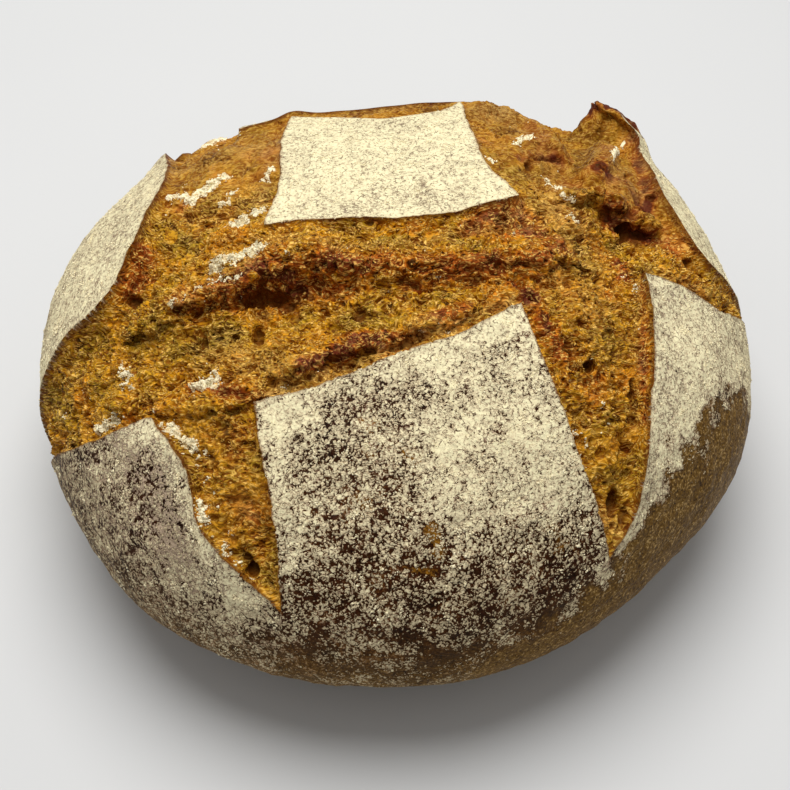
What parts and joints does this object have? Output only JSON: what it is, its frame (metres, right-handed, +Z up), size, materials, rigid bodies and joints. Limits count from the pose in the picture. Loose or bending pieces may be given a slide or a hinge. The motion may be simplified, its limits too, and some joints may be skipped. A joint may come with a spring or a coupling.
{
  "type": "sourdough loaf",
  "caption": "Round floured sourdough loaf with a domed top, crossing scores burst open to ridged golden crumb, and a flat base.",
  "frame": {"origin": "middle of the flat base, under the centre of the loaf's bounding box", "axes": "+Z up through the crown, -Y towards the loaf's front, +X to its right"},
  "size_m": [0.2432, 0.2356, 0.1175],
  "materials": {
    "crust": "baked crust, golden to dark brown and slightly glossy in the burst scores, matt brown under the flour between them",
    "flour": "dry cream-white flour, fully matt, lying in clumps on the crust"
  },
  "bodies": {
    "root": {"loaf": "crust"}
  },
  "joints": []
}
